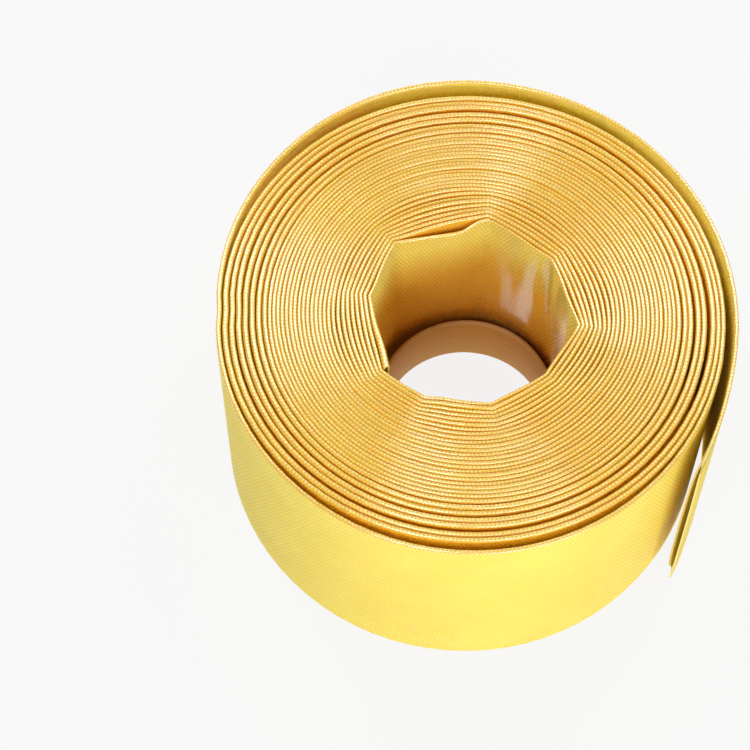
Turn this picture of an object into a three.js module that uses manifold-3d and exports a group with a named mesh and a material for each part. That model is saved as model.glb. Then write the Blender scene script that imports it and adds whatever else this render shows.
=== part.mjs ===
// A lay-flat fire hose, wound flat into a roll that lies on its side round a loose core ring.
// Millimetres, +Z up. The origin is on the floor under the middle of the roll, and the roll's axis is +Z.
// The hose starts at the core, winds outwards clockwise seen from above, and ends in a free end that stands
// off the roll at +X. Its last wraps hinge on vertical lines, because that is how the hose unrolls.

import * as THREE from "three";
import Module from "manifold-3d";
import { mergeVertices } from "three/addons/utils/BufferGeometryUtils.js";

const wasm = await Module();
wasm.setup();

// ---- Driving dimensions ----
const BORE = 100; // inside diameter when the hose is full of water
const PLY = 1.1; // one wall: cover, woven jacket and lining together
const THICK = 2 * PLY; // the flattened hose is two walls thick
const WIDTH = (Math.PI * (BORE + PLY)) / 2 + PLY; // the flattened hose is half its girth wide
const SLACK = 0.28; // air between two tight turns

const START_ANGLE = 216; // where the hose begins at the core, in degrees from +X
const STEP = 9; // degrees between two stations of the winding
const CORE_R = 60; // mean radius of the core's corners
const FLATNESS = 0.55; // how far the wraps between two corners go from a curve to a straight flat
const LOOSE_FROM = 24; // turns wound tight, before the loose ones
const LOOSE_PUFF = 0.3; // how much further apart the loose turns lie
const SIDE_PUFF = 1.0; // and how much more on the -X side
const FREE_TURN = 30 + 25 / 40; // where the last, loosest turn begins
const HINGE_TURNS = [31 + 15 / 40, 31 + 20 / 40, 31 + 25 / 40]; // the lines that the hose unrolls on
const HINGE_GAP = 0.5; // between the end faces that meet at such a line

const MOUTH = 5; // how far the cut end at the core springs open
const MOUTH_TURNS = 5 / 40; // the stretch that it closes over
const EDGE_FOLD = 3; // height of the fold that closes the mouth at each edge

const FREE_LENGTH = 90; // the free end, past the last hinge line
const FREE_BEND_R = 260; // the curl that it keeps
const FREE_LUMEN = 4.8; // how far its two walls stand apart
const LAYERS = [
  // the three layers of the wall, outermost first
  { name: "free_end_cover", thick: 0.34 },
  { name: "free_end_jacket", thick: 0.34 },
  { name: "free_end_lining", thick: 0.34 },
];
const LAYER_GAP = 0.04;

const RING_R = 54.5; // outside of the core ring
const RING_WALL = 2.6;
const RING_HEIGHT = 42;
const RING_EDGE = 0.7; // rounding of its two rims
const RING_SIDES = 60;

// The core's creases, as [degrees, radius], anticlockwise from the start of the hose.
const CREASES = [
  [-144, 57.5],
  [-117, 58.5],
  [-81, 58],
  [-45, 55.5],
  [-9, 59.5],
  [36, 55.5],
  [81, 60],
  [135, 62.5],
  [171, 60],
  [216, 57.5],
];
// Under every second loose turn a gap opens, which closes again on the -X side: [turns, widest gap].
const LOOSE_GAPS = [
  [24.1, 1.4],
  [26.1, 2.2],
  [28.1, 3.0],
];
// The gap under the last turn, as [turns after FREE_TURN, gap]: right, front, left, back, right.
const LAST_GAPS = [
  [0, 0.4],
  [0.217, 5],
  [0.467, 0.4],
  [0.717, 9],
  [1, 5],
];

// ---- Materials ----
const coatedHose = new THREE.MeshStandardMaterial({
  color: 0xf2c44c,
  roughness: 0.35,
});
const wovenYarn = new THREE.MeshStandardMaterial({
  color: 0xf0dfa8,
  roughness: 0.8,
});
const lining = new THREE.MeshStandardMaterial({
  color: 0xd99a36,
  roughness: 0.45,
});
const ringBoard = new THREE.MeshStandardMaterial({
  color: 0xc9a06a,
  roughness: 0.5,
});

// ---- The winding: where the hose's core-side face lies, n turns from its start ----
const radians = THREE.MathUtils.degToRad;
const fade = (x) => THREE.MathUtils.clamp(1 - x, 0, 1);
const ease = (t) => (1 - Math.cos(Math.PI * t)) / 2;
const angleAt = (n) => START_ANGLE - 360 * n;

// Eased value of a list of [place, value] pairs, at x.
function eased(list, x) {
  const i = Math.max(
    1,
    list.findIndex(([place]) => place >= x),
  );
  const [[x0, v0], [x1, v1]] = [list[i - 1], list[i]];
  return v0 + (v1 - v0) * ease(THREE.MathUtils.clamp((x - x0) / (x1 - x0), 0, 1));
}

// How far the straight flat between two creases lies inside the curve through them.
function flatDepth(degrees) {
  const i = CREASES.findIndex(([place]) => place > degrees);
  const [[a, ra], [b, rb]] = [CREASES[i - 1], CREASES[i]];
  const span = Math.sin(radians(b - a)) * ra * rb;
  const chord = span / (ra * Math.sin(radians(degrees - a)) + rb * Math.sin(radians(b - degrees)));
  return eased(CREASES, degrees) - chord;
}

// Air between turn n and the turn inside it, on top of the tight winding's.
function looseness(n) {
  if (n < LOOSE_FROM) return 0;
  const side = (1 - Math.cos(radians(angleAt(n)))) / 2;
  const gap = LOOSE_GAPS.reduce((sum, [from, most]) => {
    const share = THREE.MathUtils.clamp(n - from, 0, 1);
    return sum + most * Math.sin(Math.PI * share) ** 0.6;
  }, 0);
  const last = n > FREE_TURN ? eased(LAST_GAPS, n - FREE_TURN) : 0;
  const puff = LOOSE_PUFF + SIDE_PUFF * side ** 2;
  return puff * Math.min(1, n - LOOSE_FROM) + gap + last;
}

// How far the open mouth at the core pushes out the turns that lie over it.
function mouthBump(n) {
  const turn = n - Math.round(n);
  const share = turn < 0 ? fade(-turn / 0.1) : fade(turn / MOUTH_TURNS);
  return n < 0.8 ? 0 : MOUTH * share * fade((n - 1) / 24);
}

function faceRadius(n) {
  const degrees = ((((angleAt(n) + 144) % 360) + 360) % 360) - 144;
  let growth = (THICK + SLACK) * n;
  for (let turn = n; turn >= LOOSE_FROM; turn -= 1) growth += looseness(turn);
  const creases = eased(CREASES, degrees) - CORE_R;
  const shape = creases * fade(n / 24) - FLATNESS * flatDepth(degrees) * fade(n / 8);
  return CORE_R + growth + shape + mouthBump(n);
}

// A point of the plan, n turns along and so far out from the hose's core-side face.
function planPoint(n, out) {
  const r = faceRadius(n) + out;
  const a = radians(angleAt(n));
  return new THREE.Vector2(r * Math.cos(a), r * Math.sin(a));
}

// ---- Solids ----
function mesh(name, geometry, material) {
  const made = new THREE.Mesh(geometry, material);
  made.name = name;
  return made;
}

// The stations of a stretch: its two ends, and each even step of angle between them.
function stations(from, to) {
  const perTurn = 360 / STEP;
  const found = [from];
  for (let i = Math.ceil(from * perTurn + 0.01); i < to * perTurn - 0.01; i += 1) found.push(i / perTurn);
  return [...found, to];
}

// A stretch of wound hose, as a band of the plan raised to the hose's width.
function stretch(from, to, thickness = () => THICK) {
  const along = stations(from, to);
  const inner = along.map((n) => planPoint(n, 0));
  const outer = along.map((n) => planPoint(n, thickness(n)));
  const band = new THREE.Shape([...inner, ...outer.reverse()]);
  return new THREE.ExtrudeGeometry(band, { depth: WIDTH, bevelEnabled: false });
}

// Turns that stand for so many millimetres at n turns.
const turnsOf = (length, n) => length / (2 * Math.PI * faceRadius(n));

function manifoldOf(geometry) {
  const bare = geometry.index ? geometry.toNonIndexed() : geometry.clone();
  bare.deleteAttribute("normal");
  bare.deleteAttribute("uv");
  const merged = mergeVertices(bare, 1e-4);
  return new wasm.Manifold(
    new wasm.Mesh({
      numProp: 3,
      vertProperties: merged.attributes.position.array,
      triVerts: new Uint32Array(merged.index.array),
    }),
  );
}

function geometryOf(solid) {
  const { vertProperties, triVerts } = solid.getMesh();
  const geometry = new THREE.BufferGeometry();
  geometry.setAttribute("position", new THREE.BufferAttribute(vertProperties, 3));
  geometry.setIndex(new THREE.BufferAttribute(triVerts, 1));
  return geometry;
}

// The cut end at the core: two walls that spring apart towards the cut, closed by a fold at each edge.
function innerEnd() {
  const mouth = (n) => MOUTH * fade(n / MOUTH_TURNS);
  const to = MOUTH_TURNS - turnsOf(SLACK, MOUTH_TURNS);
  const shut = 0.8 * MOUTH_TURNS; // the walls touch from here on
  const whole = stretch(0, to, (n) => THICK + mouth(n));
  const before = -0.01;
  const lumen = new THREE.Shape([
    planPoint(before, PLY),
    planPoint(shut, PLY),
    planPoint(before, PLY + MOUTH),
  ]);
  const depth = WIDTH - 2 * EDGE_FOLD;
  const cavity = new THREE.ExtrudeGeometry(lumen, { depth, bevelEnabled: false });
  cavity.translate(0, 0, EDGE_FOLD);
  return geometryOf(manifoldOf(whole).subtract(manifoldOf(cavity)));
}

// A flattened tube's section: its length across is the hose's width, and its two edges are round.
function flatSection(thickness) {
  const half = thickness / 2;
  const straight = WIDTH / 2 - (THICK + FREE_LUMEN) / 2;
  const section = new THREE.Path();
  section.absarc(straight, 0, half, -Math.PI / 2, Math.PI / 2);
  section.absarc(-straight, 0, half, Math.PI / 2, (3 * Math.PI) / 2);
  section.closePath();
  return section.getPoints(3);
}

// The free end's centreline leaves the last hinge line on the winding's tangent, and keeps a slight curl.
function freeEndPath() {
  const n = HINGE_TURNS.at(-1);
  const start = planPoint(n, PLY);
  const heading = radians(angleAt(n) - 90);
  const inwards = heading - Math.PI / 2;
  const toCentre = new THREE.Vector2(Math.cos(inwards), Math.sin(inwards)).multiplyScalar(FREE_BEND_R);
  const centre = start.clone().add(toCentre);
  const steps = 8;
  const points = [];
  for (let i = 0; i <= steps; i += 1) {
    const along = HINGE_GAP / 2 + ((FREE_LENGTH - HINGE_GAP / 2) * i) / steps;
    const turned = heading + Math.PI / 2 - along / FREE_BEND_R;
    points.push(
      new THREE.Vector3(
        centre.x + FREE_BEND_R * Math.cos(turned),
        centre.y + FREE_BEND_R * Math.sin(turned),
        WIDTH / 2,
      ),
    );
  }
  return { curve: new THREE.CatmullRomCurve3(points), steps };
}

// One layer of the free end's wall: a flattened tube whose inside is the next layer's outside.
function freeEndLayer(outside, inside) {
  const { curve, steps } = freeEndPath();
  const section = new THREE.Shape(flatSection(outside));
  section.holes.push(new THREE.Path(flatSection(inside)));
  return new THREE.ExtrudeGeometry(section, { steps, extrudePath: curve, bevelEnabled: false });
}

function coreRing() {
  const outer = RING_R;
  const inner = RING_R - RING_WALL;
  const profile = [
    new THREE.Vector2(inner, RING_EDGE),
    new THREE.Vector2(inner + RING_EDGE, 0),
    new THREE.Vector2(outer - RING_EDGE, 0),
    new THREE.Vector2(outer, RING_EDGE),
    new THREE.Vector2(outer, RING_HEIGHT - RING_EDGE),
    new THREE.Vector2(outer - RING_EDGE, RING_HEIGHT),
    new THREE.Vector2(inner + RING_EDGE, RING_HEIGHT),
    new THREE.Vector2(inner, RING_HEIGHT - RING_EDGE),
    new THREE.Vector2(inner, RING_EDGE),
  ];
  const ring = new THREE.LatheGeometry(profile, RING_SIDES);
  ring.rotateX(Math.PI / 2);
  return ring;
}

// ---- Assembly ----
const hose = new THREE.Group();
hose.add(mesh("hose_inner_end", innerEnd(), coatedHose));

// Stretches that meet end to end, with the slack between their end faces.
const [toWrapBack, toWrapSide, toFreeEnd] = HINGE_TURNS;
const STRETCHES = [
  ["hose_creased_turns", MOUTH_TURNS, 8, SLACK],
  ["hose_tight_turns", 8, LOOSE_FROM, SLACK],
  ["hose_loose_turns", LOOSE_FROM, FREE_TURN, SLACK],
  ["hose_last_turn", FREE_TURN, toWrapBack, HINGE_GAP],
  ["hose_wrap_back", toWrapBack, toWrapSide, HINGE_GAP],
  ["hose_wrap_side", toWrapSide, toFreeEnd, HINGE_GAP],
];
for (const [name, from, to, gap] of STRETCHES) {
  const geometry = stretch(from + turnsOf(gap / 2, from), to - turnsOf(gap / 2, to));
  hose.add(mesh(name, geometry, coatedHose));
}

let outside = THICK + FREE_LUMEN;
const layerMaterials = [coatedHose, wovenYarn, lining];
LAYERS.forEach(({ name, thick }, i) => {
  const inside = outside - 2 * thick;
  hose.add(mesh(name, freeEndLayer(outside, inside), layerMaterials[i]));
  outside = inside - 2 * LAYER_GAP;
});

// The outline isn't quite round, so the hose is set with its outline's middle over the origin.
const outline = new THREE.Box3().setFromObject(hose);
const middle = outline.getCenter(new THREE.Vector3());
hose.position.set(-middle.x, -middle.y, 0);

hose.add(mesh("core_ring", coreRing(), ringBoard));

const part = new THREE.Group();
part.add(hose);

export default part;
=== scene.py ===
import math

import bpy
import numpy as np
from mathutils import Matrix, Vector


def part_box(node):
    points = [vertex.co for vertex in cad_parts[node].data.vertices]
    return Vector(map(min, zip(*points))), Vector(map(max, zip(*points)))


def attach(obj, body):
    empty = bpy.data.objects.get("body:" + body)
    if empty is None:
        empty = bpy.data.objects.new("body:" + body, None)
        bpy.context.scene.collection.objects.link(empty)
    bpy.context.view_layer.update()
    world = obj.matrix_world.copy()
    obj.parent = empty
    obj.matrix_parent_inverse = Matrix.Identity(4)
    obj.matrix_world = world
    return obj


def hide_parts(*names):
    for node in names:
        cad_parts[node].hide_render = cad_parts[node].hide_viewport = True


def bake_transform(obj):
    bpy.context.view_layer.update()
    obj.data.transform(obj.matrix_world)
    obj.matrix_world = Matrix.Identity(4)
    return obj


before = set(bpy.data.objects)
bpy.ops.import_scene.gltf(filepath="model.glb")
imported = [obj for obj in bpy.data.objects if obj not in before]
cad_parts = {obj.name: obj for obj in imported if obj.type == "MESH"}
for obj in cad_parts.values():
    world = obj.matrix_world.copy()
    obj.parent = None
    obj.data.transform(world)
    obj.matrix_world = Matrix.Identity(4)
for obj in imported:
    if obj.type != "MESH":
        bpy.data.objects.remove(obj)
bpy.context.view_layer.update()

# ---- The winding, as the CAD model has it ----
PLY = 0.0011  # one wall of the hose
THICK = 2 * PLY
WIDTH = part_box("hose_tight_turns")[1][2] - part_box("hose_tight_turns")[0][2]  # of the hose lying flat
SLACK = 0.00028  # between tight turns
START_ANGLE = 216  # where the inner end is, in degrees
CORE_R = 0.060
CREASED_TURNS = 24  # the creases, and the bump over the inner end's mouth, have faded out by this turn
FLAT_TURNS = 9  # and the flats between the creases by this one
CREASE_HEIGHTS = (0.03, 0.125)  # between these heights the creases grow from faint to full
RIPPLE = 0.0005  # of the innermost turns, round the roll
WANDER = 0.0001  # of every turn, in and out
PLAN_HEIGHT = 0.1  # the height at which the hinge lines and the free end are laid out
LOOSE_FROM = 24  # the turns lie loose from this one on
LOOSE_PUFF = 0.0003  # the least gap between loose turns
SIDE_PUFF = 0.0010  # and how much wider it is on the -X side
FREE_TURN = 30 + 25 / 40  # from here on the outermost turn stands off
HINGE_TURNS = [31 + 15 / 40, 31 + 20 / 40, 31 + 25 / 40]
MOUTH = 0.005  # how far the inner end's open mouth pushes the turns outwards
MOUTH_SEEN = 0.0022  # the mouth at the core, sagging nearly shut
MOUTH_TURNS = 5 / 40
FREE_LENGTH = 0.090  # past the last hinge line
FREE_BEND_R = 0.260  # the radius that the free end keeps from lying in the roll
FREE_LUMEN = 0.0040  # the bore at the free end's cut
FLARE = 0.045  # the length over which the bore opens to that
CUT_BACK = 0.007  # how much shorter the side next to the roll is cut
CUT_ROUND = 0.006  # how far the cut's corners are worn round
CUT_REACH = 0.035  # the length over which the cut's shape fades out
DENT_LEAN = 0.0026  # how far the innermost turn's slumped edge leans into the core
DENT_DROP = 0.0045  # and how far it drops
DENT_FROM = 0.10  # the height where the lean starts
# [degrees, radius] of the core's creases
CREASES = [
    [-144, 0.0575],
    [-117, 0.0585],
    [-81, 0.058],
    [-45, 0.0555],
    [-9, 0.0595],
    [36, 0.0555],
    [81, 0.060],
    [135, 0.0625],
    [171, 0.060],
    [216, 0.0575],
]
LOOSE_GAPS = [[24.1, 0.0014], [26.1, 0.0022], [28.1, 0.0030]]  # [first turn, widest] of gaps one turn long
# [turns past FREE_TURN, width] of the gap inside the outermost turn
LAST_GAPS = [[0, 0.0004], [0.217, 0.005], [0.467, 0.0004], [0.717, 0.009], [1, 0.005]]

ring_low, ring_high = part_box("core_ring")
CENTRE = np.array([(ring_low[0] + ring_high[0]) / 2, (ring_low[1] + ring_high[1]) / 2])
RING_R = (ring_high[0] - ring_low[0]) / 2
RING_HEIGHT = ring_high[2] - ring_low[2]
RING_WALL = 0.0026
RING_EDGE = 0.0009  # how far the ring's edges are rounded
RIM_SEEN = 0.0012  # the height of the ring's paler rim

# ---- How finely it is drawn ----
PER_TURN = 80  # stations in a turn
LEVELS = np.array([0, 0.012, 0.03, 0.06, 0.11, 0.25, 0.5, 0.7, 0.82, 0.89, 0.94, 0.97, 0.988, 1])  # up a side
ROUND = 7  # points round a folded edge, between the two sides
EDGE_HEIGHT = 1.15  # a folded edge's height, against half the hose's thickness
BEAD = 0.00009  # how much each side bulges at a folded edge of the tight turns
BEAD_DEPTH = 0.003  # how far from the edge the bulge reaches
BEAD_SHARE = 0.3  # how much more it bulges in the loose turns, as a share of the gap beside it
PUFF_SHARE = 0.46  # the share of the gap that a side puffs out by, between the edges
PUFF_DEPTHS = (0.0015, 0.009)  # how far from the edge the puff starts, and is full
GAP_MOST = 0.0020  # a gap wider than this stays open
FOOT = 0.0004  # how high the folded edges stand over the floor, on average


def fade(x):
    """1 at 0 and below, down to 0 at 1."""
    return np.clip(1 - x, 0, 1)


def smooth(x, low, high):
    """0 up to low, 1 from high on, with an eased step between."""
    t = np.clip((x - low) / (high - low), 0, 1)
    return t * t * (3 - 2 * t)


def angle_at(n):
    """Angle round the roll in degrees, n turns along the hose."""
    return START_ANGLE - 360 * n


def eased(pairs, x):
    """Eased value of a list of [place, value] pairs."""
    places, values = np.array(pairs, float).T
    i = np.clip(np.searchsorted(places, x), 1, len(places) - 1)
    t = np.clip((x - places[i - 1]) / (places[i] - places[i - 1]), 0, 1)
    return values[i - 1] + (values[i] - values[i - 1]) * (1 - np.cos(np.pi * t)) / 2


def flat_depth(degrees):
    """How far the straight flat between two creases lies inside the curve through them."""
    places, radii = np.array(CREASES, float).T
    i = np.clip(np.searchsorted(places, degrees, side="right"), 1, len(places) - 1)
    a, ra, b, rb = places[i - 1], radii[i - 1], places[i], radii[i]
    span = np.sin(np.radians(b - a)) * ra * rb
    chord = span / (ra * np.sin(np.radians(degrees - a)) + rb * np.sin(np.radians(b - degrees)))
    return eased(CREASES, degrees) - chord


def looseness(n):
    """The gap between the turn at n and the one inside it."""
    side = (1 - np.cos(np.radians(angle_at(n)))) / 2
    gap = sum(most * np.sin(np.pi * np.clip(n - start, 0, 1)) ** 0.6 for start, most in LOOSE_GAPS)
    last = np.where(n > FREE_TURN, eased(LAST_GAPS, n - FREE_TURN), 0)
    puff = (LOOSE_PUFF + SIDE_PUFF * side**2) * np.clip(n - LOOSE_FROM, 0, 1)
    return np.where(n >= LOOSE_FROM, puff + gap + last, 0)


def mouth_bump(n):
    """How far the turns over the inner end's mouth are pushed outwards."""
    turn = n - np.floor(n + 0.5)
    share = np.where(turn < 0, fade(-turn / 0.1), fade(turn / MOUTH_TURNS))
    return np.where(n < 0.8, 0, MOUTH * share * fade((n - 1) / CREASED_TURNS))


def wander(n, seed):
    """A slow, smooth wandering from -1 to 1 that differs from one turn to the next."""
    phases = np.random.default_rng(seed).uniform(0, 2 * np.pi, 3)
    waves = [(0.31, 0.5), (1.43, 0.3), (3.77, 0.2)]
    return sum(share * np.sin(2 * np.pi * rate * n + phase) for (rate, share), phase in zip(waves, phases))


def middle_radius(n, z):
    """Radius of the flattened hose's middle surface, n turns along and z up. The creases fade downwards."""
    degrees = (angle_at(n) + 144) % 360 - 144
    growth = (THICK + SLACK) * n + sum(looseness(n - turn) for turn in range(8))
    creased = smooth(z, *CREASE_HEIGHTS)
    shape = (eased(CREASES, degrees) - CORE_R) * fade(n / CREASED_TURNS) * (0.5 + 0.5 * creased)
    shape -= flat_depth(degrees) * fade(n / FLAT_TURNS) * (0.25 + 0.75 * creased)
    slump = DENT_LEAN * dent(n) * smooth(z, DENT_FROM, WIDTH)
    ripple = RIPPLE * fade(n / 2) * np.sin(np.radians(degrees) * 9 + 24 * z) * creased
    opening = (MOUTH - MOUTH_SEEN / 2) * fade(n / MOUTH_TURNS)
    uneven = ripple + WANDER * wander(n, 5)
    return CORE_R + growth + shape + mouth_bump(n) + opening + PLY - slump + uneven


def dent(n):
    """1 where the innermost turn's upper edge has slumped into the core, 0 elsewhere."""
    degrees = angle_at(n)
    return smooth(degrees, 84, 97) * (1 - smooth(degrees, 99, 138)) * (n < 0.5)


# ---- Meshes ----
def outline(inner, outer, low, high):
    """A flattened tube's outline: (out, up) for each station, from how far out each side lies at each level.

    inner and outer are (stations, levels), and low and high are where the two rounded edges end."""
    middle, half = (outer - inner) / 2, (outer + inner) / 2
    foot, head = half[:, :1], half[:, -1:]
    crown, sole = high - EDGE_HEIGHT * head, low + EDGE_HEIGHT * foot
    up = sole + (crown - sole) * LEVELS
    turn = np.pi * np.arange(1, ROUND + 1) / (ROUND + 1)
    top_out, top_up = middle[:, -1:] - head * np.cos(turn), crown + (high - crown) * np.sin(turn)
    low_out, low_up = middle[:, :1] + foot * np.cos(turn), sole - (sole - low) * np.sin(turn)
    out = np.hstack([-inner, top_out, outer[:, ::-1], low_out])
    return out, np.hstack([up, top_up, up[:, ::-1], low_up])


def girth(out, up):
    """Distance round the outline to each of its points, and on back to the first."""
    step = np.hypot(np.diff(out, axis=1, append=out[:, :1]), np.diff(up, axis=1, append=up[:, :1]))
    return np.hstack([np.zeros((len(out), 1)), np.cumsum(step, axis=1)])


def sleeve(name, points, across, along, materials, inner=0, outer=0, edge=0, marks=()):
    """A closed skin over rings of points, (rings, points, 3).

    across is the distance round each ring, and along the distance along the hose. inner, outer and edge are
    the material indices of the two sides and the folded edges, and marks lists the flat-shaded bands as (first
    ring, last ring, material index)."""
    rings, count, _ = points.shape
    ring, spot = np.meshgrid(np.arange(rings - 1), np.arange(count), indexing="ij")
    after = (spot + 1) % count
    near, far = ring * count, (ring + 1) * count
    quads = np.stack([near + spot, near + after, far + after, far + spot]).reshape(4, -1).T
    first = np.arange(count)[::-1].tolist()
    last = (np.arange(count) + (rings - 1) * count).tolist()
    mesh = bpy.data.meshes.new(name)
    mesh.from_pydata(points.reshape(-1, 3).tolist(), [], quads.tolist() + [first, last])
    mesh.polygons.foreach_set("use_smooth", [True] * len(quads) + [False, False])
    for line in mesh.edges:
        ends = {vertex // count for vertex in line.vertices}
        line.use_edge_sharp = ends == {0} or ends == {rings - 1}
    uv = mesh.uv_layers.new(name="UVMap")
    corners = [(ring, spot), (ring, spot + 1), (ring + 1, spot + 1), (ring + 1, spot)]
    u = np.stack([along[i] for i, _ in corners])
    v = np.stack([across[i, j] for i, j in corners])
    sides = np.stack([u.reshape(4, -1).T, v.reshape(4, -1).T], axis=2).reshape(-1, 2)
    caps = [np.stack([np.full(count, along[k]), across[k, :count]], axis=1) for k in (0, -1)]
    uv.data.foreach_set("uv", np.vstack([sides, caps[0][first], caps[1]]).ravel().astype(np.float32))
    for material in materials:
        mesh.materials.append(material)
    finish = np.zeros((rings - 1, count), int)
    finish[:, : len(LEVELS)] = np.reshape(inner, (-1, 1))
    finish[:, len(LEVELS) :] = np.reshape(outer, (-1, 1))
    finish[:, len(LEVELS) : len(LEVELS) + ROUND - 1] = edge
    finish[:, count - ROUND : count - 1] = edge
    mesh.polygons.foreach_set("material_index", [*finish.ravel().tolist(), 0, 0])
    for start, end, index in marks:
        for polygon in mesh.polygons[start * count : end * count]:
            polygon.material_index = index
            polygon.use_smooth = False
    mesh.update()
    piece = bpy.data.objects.new(name, mesh)
    bpy.context.scene.collection.objects.link(piece)
    return piece


def stations(start, end):
    """Stations from start to end, in turns, on the same rays in every turn, and two more next to the ends."""
    inner = np.arange(math.ceil(start * PER_TURN + 0.05), math.floor(end * PER_TURN - 0.05) + 1) / PER_TURN
    near = 0.02 / PER_TURN
    return np.concatenate([[start, start + near], inner, [end - near, end]])


def length_along(n):
    """Length of hose up to each station."""
    r, a = middle_radius(n, WIDTH / 2), np.radians(angle_at(n))
    step = np.hypot(np.diff(r * np.cos(a)), np.diff(r * np.sin(a)))
    return np.concatenate([[0], np.cumsum(step)])


def side(n, gap):
    """How far a side lies from the hose's middle at each level, beside a gap that it puffs out into."""
    gap = np.minimum(gap, GAP_MOST)[:, None]
    depth = np.minimum(LEVELS, 1 - LEVELS) * WIDTH
    beaded = np.exp(-depth / BEAD_DEPTH)
    return PLY + BEAD * beaded + gap * (BEAD_SHARE * beaded + PUFF_SHARE * smooth(depth, *PUFF_DEPTHS))


def wound(n, depth=0.0):
    """Rings of wound hose at stations n, so deep under its surface."""
    inner = side(n, looseness(n) * (1 - smooth(n, HINGE_TURNS[1], HINGE_TURNS[2])))
    outer = side(n, looseness(n + 1) * (1 - smooth(n + 1, HINGE_TURNS[0], HINGE_TURNS[2])))
    mouth = MOUTH_SEEN * fade(n / MOUTH_TURNS)[:, None] / 2
    low = FOOT * (1 + wander(n, 11))[:, None] + depth
    high = WIDTH + 0.0005 * wander(n, 23)[:, None] - depth - DENT_DROP * dent(n)[:, None]
    out, up = outline(inner + mouth - depth, outer + mouth - depth, low, high)
    r = middle_radius(n[:, None], up) + out
    a = np.radians(angle_at(n))[:, None]
    return np.stack([CENTRE[0] + r * np.cos(a), CENTRE[1] + r * np.sin(a), up], axis=2), girth(out, up)


def free_path(along):
    """The free end's middle line past the last hinge line, in plan, and its normals, which point outwards."""
    n = HINGE_TURNS[-1]
    a = math.radians(angle_at(n))
    start = middle_radius(n, PLAN_HEIGHT) * np.array([math.cos(a), math.sin(a)])
    heading = a - math.pi / 2
    pivot = start + FREE_BEND_R * np.array([math.cos(heading - math.pi / 2), math.sin(heading - math.pi / 2)])
    turned = heading + math.pi / 2 - along / FREE_BEND_R
    out = np.stack([np.cos(turned), np.sin(turned)], axis=-1)
    return CENTRE + pivot + FREE_BEND_R * out, out


def free(along, depth=0.0):
    """Rings of the free end, whose walls stand apart at its cut end.

    The side next to the roll is cut shorter, and the corners are worn round."""
    share = smooth(along, FREE_LENGTH - FLARE, FREE_LENGTH)[:, None]
    lens = np.sqrt(np.clip(1 - (2 * LEVELS - 1) ** 4, 0, 1))[None, :]
    half = PLY - depth + BEAD * (lens == 0) + FREE_LUMEN / 2 * share * (0.15 + 0.85 * lens)
    low = np.full((len(along), 1), FOOT + depth)
    high = np.full((len(along), 1), WIDTH - depth)
    out, up = outline(half, half, low, high)
    corner = np.hstack([1 - lens[0], np.ones(ROUND), 1 - lens[0, ::-1], np.ones(ROUND)])
    shorter = CUT_BACK * smooth(-out, -0.001, 0.001) + CUT_ROUND * corner
    shorter = shorter * smooth(along, FREE_LENGTH - CUT_REACH, FREE_LENGTH)[:, None]
    middle, normal = free_path(along[:, None] - shorter)
    plan = middle + out[:, :, None] * normal
    return np.concatenate([plan, up[:, :, None]], axis=2), girth(out, up)


# ---- Materials ----
def material(name, **sockets):
    made = bpy.data.materials.new(name)
    made.use_nodes = True
    shader = made.node_tree.nodes["Principled BSDF"]
    for socket, value in sockets.items():
        shader.inputs[socket.replace("_", " ")].default_value = value
    return made, made.node_tree, shader


def node(tree, kind, inputs=(), **settings):
    """A node with its settings, and its inputs given as values or as other nodes' outputs."""
    made = tree.nodes.new(kind)
    for key, value in settings.items():
        setattr(made, key, value)
    for key, value in dict(inputs).items():
        if isinstance(value, bpy.types.NodeSocket):
            tree.links.new(value, made.inputs[key])
        else:
            made.inputs[key].default_value = value
    return made


def maths(tree, operation, *values):
    return node(tree, "ShaderNodeMath", enumerate(values), operation=operation).outputs[0]


def ramp(tree, fac, stops):
    """A colour ramp over (place, colour) stops."""
    made = node(tree, "ShaderNodeValToRGB", {"Fac": fac})
    elements = made.color_ramp.elements
    while len(elements) < len(stops):
        elements.new(0.5)
    for element, (place, colour) in zip(elements, stops):
        element.position = place
        element.color = (*colour, 1)
    return made.outputs["Color"]


def mix(tree, fac, a, b, blend="MIX"):
    made = node(tree, "ShaderNodeMix", data_type="RGBA", blend_type=blend)
    for index, value in ((0, fac), (6, a), (7, b)):
        if isinstance(value, bpy.types.NodeSocket):
            tree.links.new(value, made.inputs[index])
        else:
            made.inputs[index].default_value = value
    return made.outputs[2]


RIB = 0.00235  # from one rib of the weave to the next, along the hose
ROW = WIDTH / 59  # and from one row to the next, round it
COAT = (0.91, 0.64, 0.09), (0.96, 0.73, 0.12), (0.98, 0.79, 0.17)  # between the ribs, beside them and on them
# The inside of the outermost turn: paler than the plain coat, painted light that stands in for light shining
# through the wall.
INNER_LIT_COAT = (0.94, 0.67, 0.10), (0.98, 0.76, 0.14), (0.98, 0.81, 0.19)
# The folds' colours: deeper orange between the ribs than the plain coat, painted shade.
EDGE_SHADED_COAT = (0.78, 0.38, 0.025), (0.93, 0.58, 0.05), (0.97, 0.75, 0.17)
# The faces between one turn and the next: a deeper orange, painted shade.
GAP_SHADE_COAT = (0.86, 0.33, 0.02), (0.96, 0.47, 0.03), (0.98, 0.58, 0.05)
# The core's face: a lit and shaded copy of the coat, deeper between the ribs and paler on them, painted light
# and shade.
CORE_LIT_SHADED_COAT = (0.75, 0.40, 0.05), (0.97, 0.73, 0.12), (0.98, 0.84, 0.21)
# (share of the height, painted shade) of the core's face: painted shade, darker towards the bottom of the core
CORE_PAINTED_SHADE = [
    (0.0, (0.48, 0.25, 0.16)),
    (0.3, (0.70, 0.42, 0.26)),
    (0.65, (0.97, 0.72, 0.48)),
    (0.9, (1, 1, 1)),
]


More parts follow.
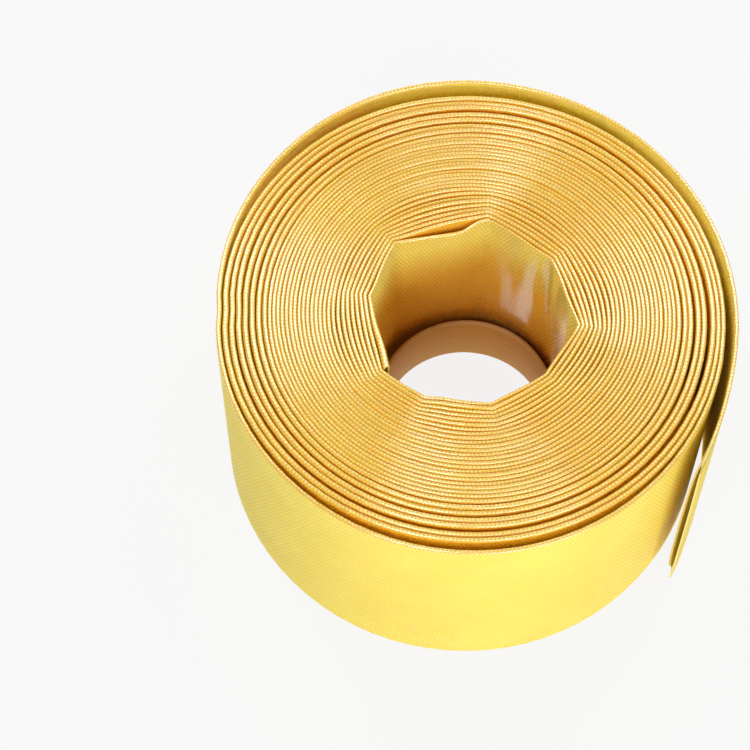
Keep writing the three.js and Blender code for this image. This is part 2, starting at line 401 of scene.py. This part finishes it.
def weave(tree):
    """Height of the weave from the UV map, which is in metres: ribs round the hose, staggered by row."""
    uv = node(tree, "ShaderNodeUVMap", uv_map="UVMap").outputs["UV"]
    along, around = node(tree, "ShaderNodeSeparateXYZ", {"Vector": uv}).outputs[:2]
    row = maths(tree, "DIVIDE", around, ROW)
    stagger = maths(tree, "MULTIPLY", maths(tree, "PINGPONG", maths(tree, "FLOOR", row), 1.0), math.pi / 2)
    across = maths(tree, "ADD", maths(tree, "MULTIPLY", along, math.pi / RIB), stagger)
    rib = maths(tree, "ABSOLUTE", maths(tree, "SINE", across))
    length = maths(tree, "ABSOLUTE", maths(tree, "SINE", maths(tree, "MULTIPLY", row, math.pi)))
    return maths(tree, "MULTIPLY", maths(tree, "POWER", rib, 0.8), maths(tree, "POWER", length, 0.35))


def coated_hose(name, colours, coat=0.12, coat_ior=1.5, level=0.0, bump=0.6, through=0.5):
    """The glossy, slightly translucent yellow coating, from its colour between the ribs to the one on them.

    It returns the material, its tree and its shader."""
    deep, plain, bright = colours
    made, tree, shader = material(name, Roughness=0.4, Specular_IOR_Level=level, Coat_Weight=coat)
    shader.inputs["Coat IOR"].default_value = coat_ior
    shader.inputs["Coat Roughness"].default_value = 0.14
    shader.inputs["Subsurface Weight"].default_value = through
    shader.inputs["Subsurface Scale"].default_value = 0.0015
    shader.inputs["Subsurface Radius"].default_value = (1.0, 0.6, 0.12)
    height = weave(tree)
    place = node(tree, "ShaderNodeTexCoord").outputs["Object"]
    blotch = node(tree, "ShaderNodeTexNoise", {"Vector": place, "Scale": 22.0, "Detail": 3.0}).outputs["Fac"]
    fine = node(tree, "ShaderNodeTexNoise", {"Vector": place, "Scale": 260.0, "Detail": 2.0}).outputs["Fac"]
    yarns = ramp(tree, height, [(0.0, deep), (0.4, plain), (0.95, bright)])
    tint = ramp(tree, blotch, [(0.3, (0.95, 0.92, 0.85)), (0.7, (1, 1, 1))])
    tree.links.new(mix(tree, 1.0, yarns, tint, "MULTIPLY"), shader.inputs["Base Color"])
    gloss = maths(tree, "ADD", maths(tree, "MULTIPLY", fine, 0.12), 0.34)
    tree.links.new(gloss, shader.inputs["Roughness"])
    slow = node(tree, "ShaderNodeBump", {"Height": blotch, "Strength": 0.25, "Distance": 0.004}).outputs[0]
    ribs = {"Height": height, "Strength": bump, "Distance": 0.0006, "Normal": slow}
    tree.links.new(node(tree, "ShaderNodeBump", ribs).outputs["Normal"], shader.inputs["Normal"])
    film = {"Height": height, "Strength": 0.2, "Distance": 0.0002, "Normal": slow}
    tree.links.new(node(tree, "ShaderNodeBump", film).outputs["Normal"], shader.inputs["Coat Normal"])
    return made, tree, shader


def shaded_core_face():
    """The face that lines the core: painted shade darkens it low down, its weave colours are a lit and shaded
    copy of the coat, which is painted light and shade, and it has glossy streaks on its +X side.
    """
    made, tree, shader = coated_hose("coated_hose_core_shaded", CORE_LIT_SHADED_COAT, 0.0, 2.0, bump=0.8)
    place = node(tree, "ShaderNodeTexCoord").outputs["Object"]
    high = node(tree, "ShaderNodeSeparateXYZ", {"Vector": place}).outputs["Z"]
    # Painted shade: the core's face darkens towards the bottom.
    painted_shade = ramp(tree, maths(tree, "DIVIDE", high, WIDTH), CORE_PAINTED_SHADE)
    colour = shader.inputs["Base Color"].links[0].from_socket
    tree.links.new(mix(tree, 1.0, colour, painted_shade, "MULTIPLY"), shader.inputs["Base Color"])
    drawn = node(tree, "ShaderNodeMapping", {"Vector": place, "Scale": (70, 70, 9)}).outputs["Vector"]
    streak = node(tree, "ShaderNodeTexNoise", {"Vector": drawn, "Scale": 1.0, "Detail": 2.0}).outputs["Fac"]
    along_x = node(tree, "ShaderNodeSeparateXYZ", {"Vector": place}).outputs["X"]
    right = node(tree, "ShaderNodeMapRange", {"Value": along_x, "From Min": 0.008, "From Max": 0.03})
    glossy = node(tree, "ShaderNodeMapRange", {"Value": streak, "From Min": 0.47, "From Max": 0.6})
    coat = maths(tree, "MULTIPLY", right.outputs["Result"], glossy.outputs["Result"])
    tree.links.new(coat, shader.inputs["Coat Weight"])
    return made


def woven_yarn():
    """The jacket's yarn, which shows at the cuts only."""
    made, tree, shader = material("woven_yarn", Roughness=0.85, Specular_IOR_Level=0.25)
    place = node(tree, "ShaderNodeTexCoord").outputs["Object"]
    fibre = node(tree, "ShaderNodeTexNoise", {"Vector": place, "Scale": 900.0, "Detail": 3.0}).outputs["Fac"]
    base = ramp(tree, fibre, [(0.3, (0.72, 0.6, 0.34)), (0.7, (0.93, 0.85, 0.6))])
    tree.links.new(base, shader.inputs["Base Color"])
    bump = node(tree, "ShaderNodeBump", {"Height": fibre, "Strength": 0.4, "Distance": 0.0002})
    tree.links.new(bump.outputs["Normal"], shader.inputs["Normal"])
    return made


def lining():
    """The smooth lining of the bore, with the weave faintly pressed through. Its pale lemon is partly its own
    colour and partly painted light, standing in for light inside the mouth.
    """
    made, tree, shader = material("lining", Roughness=0.45, Specular_IOR_Level=0.2)
    height = weave(tree)
    place = node(tree, "ShaderNodeTexCoord").outputs["Object"]
    blotch = node(tree, "ShaderNodeTexNoise", {"Vector": place, "Scale": 40.0, "Detail": 2.0}).outputs["Fac"]
    base = ramp(tree, blotch, [(0.3, (0.97, 0.78, 0.15)), (0.7, (0.98, 0.84, 0.22))])
    tree.links.new(base, shader.inputs["Base Color"])
    bump = node(tree, "ShaderNodeBump", {"Height": height, "Strength": 0.15, "Distance": 0.0002})
    tree.links.new(bump.outputs["Normal"], shader.inputs["Normal"])
    return made


def ring_board():
    """The ring's brown board, with a paler cut rim at the top."""
    made, tree, shader = material("ring_board", Roughness=0.5, Specular_IOR_Level=0.12)
    place = node(tree, "ShaderNodeTexCoord").outputs["Object"]
    drawn = node(tree, "ShaderNodeMapping", {"Vector": place, "Scale": (60, 60, 900)}).outputs["Vector"]
    fibre = node(tree, "ShaderNodeTexNoise", {"Vector": drawn, "Scale": 1.0, "Detail": 4.0}).outputs["Fac"]
    base = ramp(tree, fibre, [(0.3, (0.55, 0.26, 0.035)), (0.7, (0.64, 0.33, 0.055))])
    high = node(tree, "ShaderNodeSeparateXYZ", {"Vector": place}).outputs["Z"]
    rim = maths(tree, "GREATER_THAN", high, RING_HEIGHT - RIM_SEEN)
    tree.links.new(mix(tree, rim, base, (0.68, 0.47, 0.24, 1)), shader.inputs["Base Color"])
    bump = node(tree, "ShaderNodeBump", {"Height": fibre, "Strength": 0.15, "Distance": 0.0002})
    tree.links.new(bump.outputs["Normal"], shader.inputs["Normal"])
    return made


HOSE = coated_hose("coated_hose", COAT, bump=0.35)[0]
# The inside of the outermost turn, of the wraps and of the free end: paler, painted light.
INNER_LIT = coated_hose("coated_hose_inner_lit", INNER_LIT_COAT, 0.0, bump=0.35)[0]
THIN = coated_hose("coated_hose_thin", COAT, bump=0.35, through=0.0)[0]
# It is glossier where it is stretched over a fold. The folds' deeper orange between the ribs is painted shade,
# and the faces between one turn and the next are a deeper orange, which is painted shade.
EDGE_SHADED = coated_hose("coated_hose_edge_shaded", EDGE_SHADED_COAT, 1.0, 2.3, 0.3)[0]
GAP_SHADE_FACE = coated_hose("coated_hose_gap_shade", GAP_SHADE_COAT, 0.1)[0]
SHADED_CORE_FACE = shaded_core_face()
YARN, LINING, BOARD = woven_yarn(), lining(), ring_board()

# ---- The wound hose, with its mouth at the core ----
HOLLOW_TURNS = 0.75 * MOUTH_TURNS  # how far in the mouth is hollow
CORE_FACE_TURNS = 1.04  # the innermost turn, which lines the core, and a little more
BACK_SEAM = HINGE_TURNS[0] - 3 / 40  # where the wraps that unroll are joined on
SEAMS = [BACK_SEAM, sum(HINGE_TURNS[:2]) / 2, sum(HINGE_TURNS[1:]) / 2]
OUTERMOST = HINGE_TURNS[2] - 1  # the hose's outermost turn, which faces a wide gap, starts here

turns = stations(0, BACK_SEAM)
outside, outside_girth = wound(turns)
mouth_turns = stations(0, HOLLOW_TURNS)
layers = [wound(mouth_turns, depth) for depth in (PLY / 3, 2 * PLY / 3, PLY)]
inside, inside_girth = layers[-1]
# From the seam back to the cut end, over the cut end's three layers, and into the mouth.
cut = [layer[0][:1] for layer in layers]
points = np.concatenate([outside[::-1], *cut, inside[1:]])
around = np.concatenate([outside_girth[::-1], *[layer[1][:1] for layer in layers], inside_girth[1:]])
outside_length = length_along(turns)
inside_length = length_along(mouth_turns)
along = np.concatenate([outside_length[::-1], [0, 0, 0], inside_length[1:]])
cut_ring = len(turns) - 1
turn_of = np.concatenate([turns[:0:-1], np.zeros(len(points) - len(turns))])
finishes = [HOSE, EDGE_SHADED, YARN, LINING, GAP_SHADE_FACE, SHADED_CORE_FACE, INNER_LIT]
fold, gap_shade_face, lined = finishes.index(EDGE_SHADED), finishes.index(GAP_SHADE_FACE), finishes.index(LINING)
# The innermost turn's inside takes the core's painted shade, the faces between turns the gap's painted shade,
# and the outermost turn's inside the paler coat, painted light.
in_turns = [turn_of < CORE_FACE_TURNS, turn_of < OUTERMOST]
faces_in = np.select(in_turns, [finishes.index(SHADED_CORE_FACE), gap_shade_face], finishes.index(INNER_LIT))
faces_out = np.where(turn_of < BACK_SEAM - 1, gap_shade_face, finishes.index(HOSE))
cut_faces = [finishes.index(finish) for finish in (HOSE, YARN, LINING)]
marks = [(cut_ring + k, cut_ring + k + 1, index) for k, index in enumerate(cut_faces)]
winding = sleeve("hose_winding", points, around, along, finishes, faces_in, faces_out, fold, marks)
for polygon in winding.data.polygons[(cut_ring + len(cut_faces)) * points.shape[1] :]:
    polygon.material_index = lined
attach(winding, "roll")
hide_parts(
    "hose_inner_end", "hose_creased_turns", "hose_tight_turns", "hose_loose_turns", "hose_last_turn"
)
WOUND_LENGTH = outside_length[-1]


def hinge_span(turn, reach=0.014):
    """Points on the hose before and after a hinge line."""
    a = math.radians(angle_at(turn))
    plan = CENTRE + middle_radius(turn, PLAN_HEIGHT) * np.array([math.cos(a), math.sin(a)])
    middle = Vector((*plan, WIDTH / 2))
    way = Vector((math.sin(a), -math.cos(a), 0)) * reach
    return middle - way, middle + way


# ---- The wraps that unroll, one across each hinge line ----
for k, name in enumerate(["hose_wrap_back_skin", "hose_wrap_side_skin"]):
    turns = stations(SEAMS[k], SEAMS[k + 1])
    points, around = wound(turns)
    lengths = WOUND_LENGTH + length_along(turns)
    wrap = sleeve(name, points[::-1], around[::-1], lengths[::-1], [HOSE, EDGE_SHADED, INNER_LIT], inner=2, edge=1)
    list(hinge_span(HINGE_TURNS[k]))
    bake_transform(wrap)
    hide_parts(["hose_wrap_back", "hose_wrap_side"][k])
    WOUND_LENGTH = lengths[-1]

# ---- The free end: the cover over the last hinge line, with the jacket and the lining inside it ----
MOUTH_DEPTH = 0.034  # how deep the free end is open
FREE_RINGS = 17
DEEP_RINGS = 8
LAYER_GAP = 0.00001  # between one layer of the wall and the next
turns = stations(SEAMS[2], HINGE_TURNS[2])
wrap_points, wrap_around = wound(turns)
wrap_length = length_along(turns)
free_along = np.linspace(0, FREE_LENGTH, FREE_RINGS)[1:]
deep_along = np.linspace(FREE_LENGTH, FREE_LENGTH - MOUTH_DEPTH, DEEP_RINGS)


def layer(name, outer_depth, inner_depth, finishes, slot, along_path, lead=None, **sides):
    """One layer of the free end's wall, from outside over the cut to inside.

    lead is (points, distances round) of wound rings to put before it, and sides goes on to sleeve."""
    outer, outer_around = free(along_path, outer_depth)
    inner, inner_around = free(deep_along, inner_depth)
    outer_length = wrap_length[-1] + along_path
    if lead is not None:
        outer = np.concatenate([lead[0], outer])
        outer_around = np.concatenate([lead[1], outer_around])
        outer_length = np.concatenate([wrap_length, outer_length])
    points = np.concatenate([outer, inner])[::-1]
    around = np.concatenate([outer_around, inner_around])[::-1]
    lengths = WOUND_LENGTH + np.concatenate([outer_length, wrap_length[-1] + deep_along])[::-1]
    rim = len(deep_along) - 1
    piece = sleeve(name, points, around, lengths, finishes, marks=[(rim, rim + 1, 0)], **sides)
    return piece


lead = (wrap_points, wrap_around)
skins = [THIN, EDGE_SHADED, INNER_LIT]
cover = layer("free_end_cover_skin", 0, PLY / 3, skins, "coated_hose", free_along, lead, inner=2, edge=1)
open_along = deep_along[::-1]
jacket = layer("free_end_jacket_skin", PLY / 3 + LAYER_GAP, 2 * PLY / 3, [YARN], "woven_yarn", open_along)
tube = layer("free_end_lining_skin", 2 * PLY / 3 + LAYER_GAP, PLY, [LINING], "lining", open_along)
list(hinge_span(HINGE_TURNS[2]))
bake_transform(cover)
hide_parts("free_end_cover")
for piece, cad_node in ((jacket, "free_end_jacket"), (tube, "free_end_lining")):
    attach(piece, "free_end")
    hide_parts(cad_node)


# ---- The core ring ----
RING_STATIONS = 120
RING_OVAL = 0.004  # how much the ring is out of round


def board_ring():
    """The ring: a tube with rounded edges, slightly oval."""
    inner = RING_R - RING_WALL
    rounded = [(0, 1), (0.3, 0.3), (1, 0)]  # shares of RING_EDGE across and up
    rim = [(RING_EDGE * a, RING_EDGE * b) for a, b in rounded]
    corners = [
        *[(inner + a, b) for a, b in rim],
        *[(RING_R - a, b) for a, b in rim[::-1]],
        *[(RING_R - a, RING_HEIGHT - b) for a, b in rim],
        *[(inner + a, RING_HEIGHT - b) for a, b in rim[::-1]],
    ]
    verts, faces = [], []
    for i in range(RING_STATIONS):
        a = 2 * math.pi * i / RING_STATIONS
        sag = 1 + RING_OVAL * math.sin(2 * a + 0.6)
        for r, z in corners:
            verts.append((CENTRE[0] + r * sag * math.cos(a), CENTRE[1] + r * sag * math.sin(a), z))
    size = len(corners)
    for i in range(RING_STATIONS):
        for j in range(size):
            b, c = (i + 1) % RING_STATIONS, (j + 1) % size
            faces.append((i * size + j, i * size + c, b * size + c, b * size + j))
    mesh = bpy.data.meshes.new("core_ring_tube")
    mesh.from_pydata(verts, [], faces)
    mesh.polygons.foreach_set("use_smooth", [True] * len(faces))
    mesh.materials.append(BOARD)
    mesh.update()
    ring = bpy.data.objects.new("core_ring_tube", mesh)
    bpy.context.scene.collection.objects.link(ring)
    return ring


ring = board_ring()
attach(ring, "core_ring")
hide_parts("core_ring")

# ---- Floor, light and camera ----
bpy.ops.mesh.primitive_plane_add(size=8)
floor = bpy.context.object
floor.name = "floor"
paper, tree, shader = material("floor_paper", Roughness=0.7, Specular_IOR_Level=0.2)
place = node(tree, "ShaderNodeTexCoord").outputs["Object"]
cloud = node(tree, "ShaderNodeTexNoise", {"Vector": place, "Scale": 3.0}).outputs["Fac"]
greys = ramp(tree, cloud, [(0.3, (0.058, 0.058, 0.06)), (0.7, (0.064, 0.064, 0.064))])
tree.links.new(greys, shader.inputs["Base Color"])
# The floor glows, so that it is an even near-white with hardly a shadow, as in the photo.
shader.inputs["Emission Color"].default_value = (1, 1, 1, 1)
shader.inputs["Emission Strength"].default_value = 0.865
floor.data.materials.append(paper)


def softbox(name, place, aim, size, power):
    """A rectangular light at a place, turned towards the point it is aimed at."""
    light = bpy.data.lights.new(name, "AREA")
    light.shape = "RECTANGLE"
    light.size, light.size_y = size
    light.energy = power
    lamp = bpy.data.objects.new(name, light)
    lamp.location = place
    lamp.rotation_euler = (Vector(aim) - Vector(place)).to_track_quat("-Z", "Y").to_euler()
    bpy.context.scene.collection.objects.link(lamp)


softbox("softbox_front", (0.5, -1.2, 0.6), (0, 0, 0.08), (0.9, 0.5), 9)
softbox("softbox_high", (-0.35, -1.0, 1.2), (0, 0, 0.12), (0.6, 0.5), 8.5)
softbox("softbox_back_left", (-0.6, 0.6, 1.1), (0, 0, 0.16), (0.34, 0.9), 7)
softbox("softbox_back_right", (0.5, 0.6, 1.1), (0, 0, 0.16), (0.34, 0.9), 6.5)
softbox("softbox_behind", (0.2, 1.5, 0.3), (0, 0, 0.08), (1.0, 0.3), 4)

world = bpy.data.worlds.new("studio")
bpy.context.scene.world = world
world.use_nodes = True
world.node_tree.nodes["Background"].inputs["Color"].default_value = (1, 1, 1, 1)
world.node_tree.nodes["Background"].inputs["Strength"].default_value = 0.15
bpy.context.scene.view_settings.view_transform = "Standard"

ELEVATION = math.radians(64)
DISTANCE = 1.5
LENS = 118  # in millimetres
AIM = Vector((-0.060, -0.006, 0.08))  # beside the roll, which stands at the right of the photo
camera_data = bpy.data.cameras.new("camera")
camera_data.lens = LENS
camera = bpy.data.objects.new("camera", camera_data)
camera.location = AIM + DISTANCE * Vector((0, -math.cos(ELEVATION), math.sin(ELEVATION)))
camera.rotation_euler = (math.pi / 2 - ELEVATION, 0, 0)
bpy.context.scene.collection.objects.link(camera)
bpy.context.scene.camera = camera
